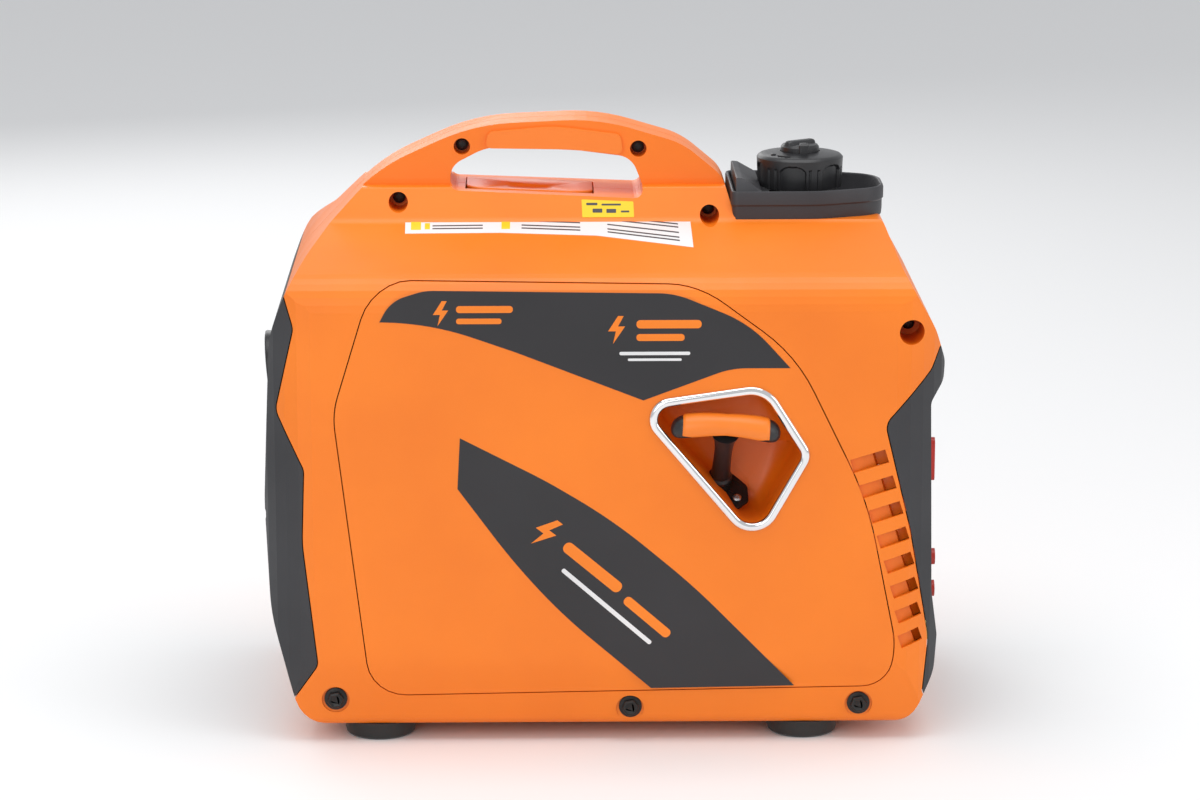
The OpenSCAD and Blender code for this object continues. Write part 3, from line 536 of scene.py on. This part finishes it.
def gripSection(u, v, lift=0.0):
    # A bowed bar: u runs along it from -1 to 1, v round it; its ends close in a dome
    half = pull["gripW"] / 2
    end = np.sqrt(np.clip(1 - np.abs(u) ** 9, 0, 1))
    swell = 1 + 0.10 * np.abs(u) ** 2 - 0.12 * (1 - np.abs(u)) ** 2
    wide = (pull["gripR"] * swell + lift) * end
    tall = (pull["gripR"] * pull["gripFlat"] * swell + lift) * end
    y = half * u * (1 + lift / half)
    x = wide * np.cos(v)
    z = pull["stem"] + pull["gripLift"] - pull["gripBow"] * u * u + tall * np.sin(v)
    a = pull["gripTurn"]
    return np.stack([x * math.cos(a) - y * math.sin(a), x * math.sin(a) + y * math.cos(a), z], -1)


def gripBar():
    u = np.sin(np.linspace(-math.pi / 2, math.pi / 2, 61))
    v = np.linspace(0, 2 * math.pi, 48, endpoint=False)
    points = gripSection(u[:, None], v[None, :]).reshape(-1, 3)
    faces = [list(f) for f in gridFaces(61, 48)]
    return addMesh("bar", atPull(points), turnedOut(points, faces), 180)


def gripInset():
    # The pad covers the bar's top; its lower edge rises at both ends
    u = np.linspace(-0.80, 0.80, 61)[:, None]
    low = math.radians(-28) + 0.42 * ease((np.abs(u) - 0.55) / 0.25)
    high = math.radians(208) - 0.42 * ease((np.abs(u) - 0.55) / 0.25)
    t = np.linspace(0, 1, 41)[None, :]
    v = low + (high - low) * t
    rim = np.minimum(ease((0.80 - np.abs(u)) / 0.05), np.minimum(ease(t / 0.06), ease((1 - t) / 0.06)))
    out, back = gripSection(u + 0 * t, v, 0.75), gripSection(u + 0 * t, v, -0.9)
    out = back + (out - back) * (0.45 + 0.55 * rim)[..., None]
    n, m = out.shape[:2]
    points = np.concatenate([out.reshape(-1, 3), back.reshape(-1, 3)])
    front = gridFaces(n, m, closed=False)
    border = np.concatenate([np.arange(m), np.arange(1, n) * m + m - 1,
                             (n - 1) * m + np.arange(m - 2, -1, -1), np.arange(n - 2, 0, -1) * m])
    ahead = np.roll(border, -1)
    faces = [list(f) for f in front] + [list(f[::-1] + n * m) for f in front]
    faces += [[b, a, a + n * m, b + n * m] for a, b in zip(border, ahead)]
    return addMesh("grip_inset", atPull(points), turnedOut(points, faces), 60)


dress(join("starter_grip", [stem, coneTip, gripBar()]), paints["black_plastic"], "pull_handle",
      ["pull_handle"])
dress(gripInset(), paints["orange_lid"], "pull_handle", ["pull_handle_pad"])


ropeLook = {"from": -3.2, "endBack": 19, "rings": 150, "sides": 32, "r": 2.05, "strand": 0.14, "twist": 1.9}


def ropeTail(look):
    # A braided tube along the pull: two sets of strands swell its radius in a helix
    rings, sides = look["rings"], look["sides"]
    s, v = np.meshgrid(np.linspace(look["from"], pull["stem"] - look["endBack"], rings),
                       np.linspace(0, 2 * math.pi, sides, endpoint=False), indexing="ij")
    strand, twist = look["strand"], look["twist"]
    r = look["r"] + strand * np.cos(4 * v + s * twist) + strand * np.cos(4 * v - s * twist)
    points = np.stack([r * np.cos(v), r * np.sin(v), s], -1).reshape(-1, 3)
    faces = [list(f) for f in gridFaces(rings, sides)]
    faces += [list(range(sides))[::-1], list(range((rings - 1) * sides, rings * sides))]
    return addMesh("starter_rope", atPull(points), turnedOut(points, faces), 60)


rope = ropeTail(ropeLook)
rope.data.materials.append(paints["rope"])
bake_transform(rope)
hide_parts("rope_tail")
print("recoil pocket made")


# ---------- fuel tray and cap ----------

fillerX = 148
trayPlan = rounded([(97, -48, 4), (160, -47, 60), (207, -28, 26), (207, 28, 26), (160, 47, 60),
                    (97, 48, 4)], 12)
trayProfile = [(-4, 366.5), (0.2, 366.6), (0.6, 371), (0.6, 377.4), (1.6, 378.6), (1.6, 386.2), (1.0, 387.9),
               (0, 388.3), (-1.0, 387.9), (-1.5, 386.8), (-2.2, 374), (-3.4, 372.4), (-9, 372)]
tray = carried("tray", trayPlan, trayProfile, smooth=40)
carve(tray, carried("neck", circle(23), [(0, 350), (0, 400)], upright(fillerX, 0)))
rampSide = rounded([(99.4, 368.4, 0), (118, 368.4, 0), (118, 388, 1), (104, 396.6, 2), (99.4, 397, 1)])
rampProfile = [(-2, -47.6), (0, -46.6), (0, -40), (0, 40), (0, 46.6), (-2, 47.6)]
ramp = carried("ramp", rampSide, rampProfile, toSide(1))
rampEnds = rounded([(-60, 360, 0), (-49.6, 360, 0), (-49.6, 380, 2), (-37, 400, 2), (37, 400, 2),
                    (49.6, 380, 2), (49.6, 360, 0), (60, 360, 0), (60, 410, 0), (-60, 410, 0)])
chamfer = carried("chamfer", rampEnds, [(0, 70), (0, 140)], alongX)
carve(ramp, chamfer)
dress(join("fuel_tray", [tray, ramp]), looks["cover_black"], "root", ["tank_tray"])

cap = {"r": 32, "z0": 385, "high": 24, "lobes": 6, "columns": 720, "cut": 1.9}


def capSide():
    # Round the cap, wide arch-topped hollows alternate with pairs of narrow ribs;
    # the skirt tapers in slightly below
    a = np.linspace(0, 2 * math.pi, cap["columns"], endpoint=False)[None, :]
    t = np.linspace(0, 1, 46)[:, None]
    phase = ((a * cap["lobes"] / (2 * math.pi) + 0.22) % 1.0)
    across = np.abs(phase - 0.5) * 2
    arch = 0.86 - 0.20 * np.clip(across / 0.62, 0, 1) ** 3
    wide = ease((0.62 - across) / 0.05) * ease((arch - t) / 0.05)
    groove = np.exp(-((across - 0.80) / 0.055) ** 2) * ease((0.74 - t) / 0.05)
    radius = cap["r"] - 0.4 - 0.9 * (1 - t) - cap["cut"] * wide - 1.1 * groove
    z = cap["z0"] + (cap["high"] - 2.6) * t
    return radius, z + 0 * a, a + 0 * t


def fuelCap():
    radius, z, a = capSide()
    top, base = cap["z0"] + cap["high"], cap["z0"]
    steps = [(31.0, top - 1.7), (29.6, top - 0.5), (28.2, top - 0.1), (24, top + 0.5), (16, top + 1.5),
             (14.6, top + 1.6), (14.4, top + 0.4), (4.2, top + 0.4), (4.2, top - 6), (23.2, top - 6),
             (23.2, base + 1), (24, base), (30, base - 0.2)]
    ring = a[:1]
    rings = [np.stack([radius * np.cos(a), radius * np.sin(a), z], -1)]
    rings += [np.stack([r * np.cos(ring), r * np.sin(ring), h + 0 * ring], -1) for r, h in steps]
    points = np.concatenate([r.reshape(-1, 3) for r in rings])
    faces = [list(f) for f in gridFaces(len(points) // cap["columns"], cap["columns"], True, True)]
    return addMesh("fuel_cap_body", points + (fillerX, 0, 0), turnedOut(points - (0, 0, 400), faces), 40)


capBody = fuelCap()
capTop = cap["z0"] + cap["high"]
dotProfile = [(0, capTop - 0.2), (0, capTop + 1.1), (-0.5, capTop + 1.35)]
dotMark = carried("dot", circle(1.9, 24), dotProfile, upright(fillerX - 20, -13))
arrow = rounded([(-5, -0.7, 0), (2, -0.7, 0), (2, -2, 0), (5.5, 0, 0), (2, 2, 0), (2, 0.7, 0), (-5, 0.7, 0)])
arrowProfile = [(0, capTop - 0.2), (0, capTop + 1.0)]
arrowMark = carried("arrow", turned(arrow, -0.6), arrowProfile, upright(fillerX - 13, -21))
dress(join("fuel_cap_shell", [capBody, dotMark, arrowMark]), paints["black_plastic"], "fuel_cap",
      ["fuel_cap"])

knobTop = capTop + 9
discProfile = [(-1, capTop + 0.8), (0, capTop + 1.6), (0, knobTop - 4.2), (-1.2, knobTop - 2.6),
               (-3.4, knobTop - 2.0), (-13, knobTop - 1.7)]
knobDisc = carried("disc", circle(14, 72), discProfile, upright(fillerX, 0), smooth=40)
knobPin = carried("pin", circle(3.9, 32), [(0, capTop - 5.2), (0, capTop + 1)], upright(fillerX, 0))
barPlan = turned(rounded(boxCorners(-12.6, -3.6, 12.6, 3.6, 3), 6), math.radians(35))
barProfile = [(0.8, knobTop - 4), (0.2, knobTop - 1.2), (-0.6, knobTop), (-1.6, knobTop + 0.4),
              (-2.4, knobTop + 0.2)]
knobBar = carried("bar", barPlan, barProfile, upright(fillerX, 0))
tabPlan = rounded([(-3.6, -16.4, 1), (3.6, -16.4, 1), (3.6, -6, 1), (-3.6, -6, 1)], 4)
tabProfile = [(0, capTop + 0.9), (0, knobTop - 1.6), (-0.8, knobTop - 0.6), (-1.6, knobTop - 0.5)]
knobTab = carried("tab", tabPlan, tabProfile, upright(fillerX + 2, 0))
dress(join("vent_knob_shell", [knobDisc, knobPin, knobBar, knobTab]), paints["black_plastic"], "vent_knob",
      ["vent_knob"])
print("tray and cap made")


# ---------- feet, screws, bolts ----------

feet = {"x": (-160, 147), "y": 100, "r": 25.5, "studR": 3, "studTop": 24}
footProfile = [(-17.5, 2.6), (-5.8, 0), (-2.5, 0), (-0.6, 1.6), (0, 4.5), (-0.2, 10.5), (0, 11.8),
               (-22, 11.8)]
footPlaces = [(x, y) for x in feet["x"] for y in (-feet["y"], feet["y"])]
footSet = [carried("foot", circle(feet["r"], 72), footProfile, upright(x, y), smooth=40)
           for x, y in footPlaces]
footSet += [carried("stud", circle(feet["studR"], 32), [(0, 11.5), (0, feet["studTop"])], upright(x, y))
            for x, y in footPlaces]
dress(join("rubber_foot_set", footSet), paints["rubber"], "root", ["rubber_feet"])

bolt = {"flangeR": 8.3, "cornerR": 6.3, "turn": 10}


def hexBolt(side, x, z):
    # A flanged hexagon head, its edges turned down
    angles = [math.radians(60 * k + bolt["turn"]) for k in range(6)]
    cornerR = bolt["cornerR"]
    hexagon = rounded([(cornerR * math.cos(a), cornerR * math.sin(a), 0.6) for a in angles], 4)

    def place(p):
        return np.column_stack([p[:, 0] + x, side * p[:, 2], p[:, 1] + z])
    flangeProfile = [(-1, 128.8), (0, 129.2), (-0.2, 130.2), (-2.2, 130.9)]
    headProfile = [(0, 130), (0, 134.2), (-0.5, 134.9), (-1.4, 135.2), (-2.4, 134.7)]
    return [carried("flange", circle(bolt["flangeR"], 48), flangeProfile, place, smooth=40),
            carried("head", hexagon, headProfile, place, smooth=25)]


boltSet = [o for side in (-1, 1) for x, z in screws["base"] for o in hexBolt(side, x, z)]
dress(join("base_bolt_set", boltSet), paints["black_steel"], "root", ["base_bolts"])


def screwPlace(x, z, y):
    def place(p):
        return np.column_stack([p[:, 0] + x, y - p[:, 2], p[:, 1] + z])
    return place


screwSize = {"headR": 4.5, "shankR": 2.4, "tip": 13, "handleY": -13, "shoulderY": -17,
             "cornerY": -100, "cornerTip": -91.5}
screwPlaces = [(x, z, screwSize["handleY"], screwSize["tip"]) for x, z in screws["handle"]]
screwPlaces += [(x, z, screwSize["shoulderY"], screwSize["tip"]) for x, z in screws["shoulder"]]
screwPlaces.append((*screws["corner"], screwSize["cornerY"], screwSize["cornerTip"]))
caseScrewSet = [panHead(screwSize["headR"], screwPlace(x, z, y)) for x, z, y, tip in screwPlaces]
caseScrewSet += [rod("shank", x, z, y + 0.5, tip, screwSize["shankR"]) for x, z, y, tip in screwPlaces]
dress(join("case_screw_set", caseScrewSet), paints["black_steel"], "root", ["case_screws"])

outletProfile = [(-3.8, -18), (0, -18), (0, 4.4), (-0.6, 5.7), (-1.8, 6), (-3.2, 5.6), (-3.8, 4.6),
                 (-4.4, 1.2), (-15.8, 0.4), (-16, -20), (-15, -20.2)]
exhaust = carried("exhaust_sleeve", circle(27, 80), outletProfile, outletPlace, ring=True, smooth=40)
dress(exhaust, paints["black_plastic"], "root", ["exhaust_outlet"])

serviceDial = {"x": 10, "z": 60, "r": 16, "points": 96, "ribs": 16, "rib": 0.03, "shaftR": 6.2,
               "shaftFrom": 121, "shaftTo": 138}
ribTurns = np.cos(np.linspace(0, 2 * math.pi, serviceDial["points"], endpoint=False) * serviceDial["ribs"])
dialOutline = circle(serviceDial["r"], serviceDial["points"]) * (1 + serviceDial["rib"] * ribTurns)[:, None]
dialProfile = [(-2, 137.4), (0, 138), (0, 143.6), (-1.2, 145.4), (-3, 146), (-14, 146)]
dialPlace = (serviceDial["x"], serviceDial["z"])
serviceKnob = carried("dial", dialOutline + dialPlace, dialProfile, toSide(1), smooth=40)
carve(serviceKnob, block("groove", (-2, 142.5, 58.4), (22, 150, 61.6)))
knobShaft = rod("shaft", *dialPlace, serviceDial["shaftFrom"], serviceDial["shaftTo"], serviceDial["shaftR"])
dress(join("service_knob_head", [serviceKnob, knobShaft]), paints["black_plastic"], "service_knob",
      ["service_knob"])
print("feet, bolts and outlet made")


# ---------- intake vanes, printed panels and labels ----------


def turnedBox(x, z, w, h, angle, r):
    return turned(rounded(boxCorners(-w / 2, -h / 2, w / 2, h / 2, r), 5), -math.radians(angle)) + (x, z)


shoulder = {"y": 49, "z": 367, "run": 88, "drop": 31, "outY": 0.332, "outZ": 0.943}
wall = {"y": 49, "z": 367, "run": 14, "rise": 23, "outY": 0.854, "outZ": 0.52}


def onSlope(p):
    # The shoulder falls outwards from the handle; height is measured square to it
    across = shoulder["y"] + (shoulder["z"] - p[:, 1]) * shoulder["run"] / shoulder["drop"]
    y, z = -across - shoulder["outY"] * p[:, 2], p[:, 1] + shoulder["outZ"] * p[:, 2]
    return np.column_stack([p[:, 0], y, z])


def films(name, outlines, look, slot, top, place=toSide(-1), bottom=136.9):
    # Thin printed shapes a little proud of the surface
    profile = [(0, bottom), (0, top - 0.06), (-0.06, top)]
    made = [carried("film", outline, profile, place) for outline in outlines]
    return dress(join(name, made), look, "root")


slots = {"count": 8, "topW": 26, "narrow": 10, "high": 13.5, "inset": 1.8, "bendFrom": 210, "bendR": 38,
         "shallow": 1.2, "deep": 9.0, "turnAt": 0.14, "topX": 191, "forward": 31, "curve": 1.5,
         "topZ": 209, "drop": 131, "tilt": -17, "tiltMore": 3}


def caseFace(x):
    # Half the case's width: flat, then round the front corner
    past = np.clip(x - slots["bendFrom"], 0, slots["bendR"])
    return caseHalf - slots["bendR"] + math.sqrt(slots["bendR"] ** 2 - past ** 2)


def louvre(side, x, z, w, angle):
    # A vane leans inwards from the slot's rear end, then drops into a well that is closed on every side
    a = -math.radians(angle)
    along, up = np.array([math.cos(a), math.sin(a)]), np.array([-math.sin(a), math.cos(a)])
    steps = [(-w / 2 - 3, slots["shallow"]), (-w / 2, slots["shallow"]), (w * slots["turnAt"], 4.2),
             (w * (slots["turnAt"] + 0.06), slots["deep"]), (w / 2 + 2.5, slots["deep"]),
             (w / 2 + 3, slots["shallow"])]
    count, points = len(steps), []
    for thick in (0, 1.4):
        for run, depth in steps:
            for half in (-1, 1):
                p = np.array([x, z]) + along * run + up * half * slots["high"] / 2
                points.append((p[0], side * (caseFace(p[0]) - slots["inset"] - depth - thick), p[1]))
    lower = 2 * count
    faces = []
    for k in range(0, 2 * count - 2, 2):
        faces += [[k, k + 2, k + 3, k + 1], [lower + k, lower + k + 1, lower + k + 3, lower + k + 2],
                  [k, lower + k, lower + k + 2, k + 2], [k + 1, k + 3, lower + k + 3, lower + k + 1]]
    faces += [[0, 1, lower + 1, lower], [lower - 2, 2 * lower - 2, 2 * lower - 1, lower - 1]]
    points = np.array(points)
    return addMesh("vane", points, turnedOut(points, faces), 30)


def slotPlaces():
    # The slots climb in a curve: each lies further back and is wider than the one below it
    for k in range(slots["count"]):
        t = k / (slots["count"] - 1)
        x = slots["topX"] + slots["forward"] * (1 - (1 - t) ** slots["curve"])
        z = slots["topZ"] - slots["drop"] * t
        yield x, z, slots["topW"] - slots["narrow"] * t, slots["tilt"] - slots["tiltMore"] * t


vanes = [louvre(side, *at) for side in (-1, 1) for at in slotPlaces()]
# the vanes take the darker orange, which is painted shade in the slot wells
dress(join("intake_vanes", vanes), looks["orange_painted_shade"], "root")


decalTop = rounded([(-156, 311, 0), (-148, 326, 26), (-124, 333.5, 40), (52, 331, 60), (105, 309, 90),
                    (134, 277, 0), (92, 277, 60), (30, 254, 0), (-60, 289, 300), (-120, 310, 200)], 10)
decalLow = rounded([(-100, 227, 0), (-102, 190, 0), (-64, 138, 500), (-29, 98, 400), (36, 42, 0),
                    (139, 43.5, 0), (66, 118, 500), (8, 167, 400), (-40, 196, 400)], 8)
filmTop, markTop = caseHalf + 0.25, caseHalf + 0.4
films("side_panel_stripe_upper", [decalTop], looks["decal_black"], "dark_plastic", filmTop)
films("side_panel_stripe_lower", [decalLow], looks["decal_black"], "dark_plastic", filmTop)


def bar(x, z, w, h, angle):
    return turnedBox(x, z, w, h, angle, min(w, h) * 0.45)


# Plain bars stand where a maker would print its own marks
boltShape = [(0, 9), (-7, -2), (-1.5, -2), (-3.5, -11), (5, 1.5), (0, 1.5), (4, 9)]


def placed(shape, x, z, scale, angle=0):
    return turned(np.array(shape) * scale, math.radians(angle)) + (x, z)


orangeMarks = [placed(boltShape, -112, 318, 0.9), bar(-82, 320, 40, 5, 0), bar(-86, 311.5, 32, 4, 0),
               placed(boltShape, 12, 306, 1.0), bar(48, 309, 46, 6, 0), bar(42, 299.5, 34, 5, 0)]
orangeMarks += [placed(boltShape, -38, 158, 1.25, -38), bar(-6, 132, 52, 8.5, 40), bar(33, 95, 42, 7, 41)]
films("stripe_marks", orangeMarks, looks["decal_orange"], "orange_plastic", markTop)
paleMarks = [bar(38, 288, 50, 2.4, 0), bar(38, 283.5, 38, 1.8, 0), bar(4, 103, 84, 3.2, 41)]
films("stripe_marks_pale", paleMarks, looks["label_white"], "ceramic", markTop)

strip = {"u": [0, 0.385, 0.676, 1], "lowX": [-139.5, -60, 0, 67], "lowZ": [361.3, 361.6, 360, 354.3],
         "highX": [-140, -60, 0, 66], "highZ": [372.6, 373.6, 372, 367.3]}


def stripPoint(u, v):
    # u runs along the strip from 0 to 1, v up it
    low = np.array([np.interp(u, strip["u"], strip["lowX"]), np.interp(u, strip["u"], strip["lowZ"])])
    high = np.array([np.interp(u, strip["u"], strip["highX"]), np.interp(u, strip["u"], strip["highZ"])])
    return low + (high - low) * v


def stripPatch(u0, v0, u1, v1):
    lows = [stripPoint(u, v0) for u in np.linspace(u0, u1, 4)]
    highs = [stripPoint(u, v1) for u in np.linspace(u1, u0, 4)]
    return np.array(lows + highs)


films("shoulder_label", [stripPatch(0, 0, 1, 1)], looks["label_white"], "ceramic", 0.3, onSlope, -0.3)
inkRows, inkRuns = (0.16, 0.28, 0.46, 0.66, 0.78), ((0.09, 0.27), (0.40, 0.61), (0.70, 0.955))
inkLines = [stripPatch(start + 0.005, v, end, v + 0.05) for start, end in inkRuns for v in inkRows]
films("shoulder_label_ink", inkLines, looks["label_ink"], "dark_plastic", 0.42, onSlope, -0.2)
yellowPatches = [(0.02, 0.14, 0.055, 0.86), (0.065, 0.66, 0.085, 0.86), (0.068, 0.16, 0.086, 0.42),
                 (0.335, 0.14, 0.365, 0.46), (0.665, 0.58, 0.69, 0.86)]
yellowMarks = [stripPatch(*patch) for patch in yellowPatches]
films("shoulder_label_signs", yellowMarks, looks["label_yellow"], "orange_lid", 0.42, onSlope, -0.2)


def onWall(p):
    # The short wall between the shoulder and the shelf
    across = wall["y"] - (p[:, 1] - wall["z"]) * wall["run"] / wall["rise"]
    y, z = -across - wall["outY"] * p[:, 2], p[:, 1] + wall["outZ"] * p[:, 2]
    return np.column_stack([p[:, 0], y, z])


sticker = rounded([(-12.5, 381.5, 0.6), (-12, 369.6, 0.6), (25.5, 369.6, 0.6), (25, 380, 0.6)], 3)
films("noise_sticker", [sticker], looks["label_yellow"], "orange_lid", 0.35, onWall, -0.3)
inkBars = [(-5, 378.4, 8, 1.6), (9, 378, 14, 1.2), (-1, 374, 7, 2.6), (9, 373.8, 7, 2.6), (19, 373.4, 6, 1.2)]
stickerInk = [turnedBox(x, z, w, h, 0, 0.3) for x, z, w, h in inkBars]
films("noise_sticker_ink", stickerInk, looks["label_ink"], "dark_plastic", 0.5, onWall, -0.2)
print("printed films made")

# ---------- carried-over nodes ----------

kept = [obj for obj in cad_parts.values() if not obj.hide_render]
for obj in kept:
    for place in obj.material_slots:
        key = place.material.name.split(".")[0] if place.material else "dark_plastic"
        place.material = paints.get(key, paints["dark_plastic"])
print("nodes kept from the frame:", len(kept))
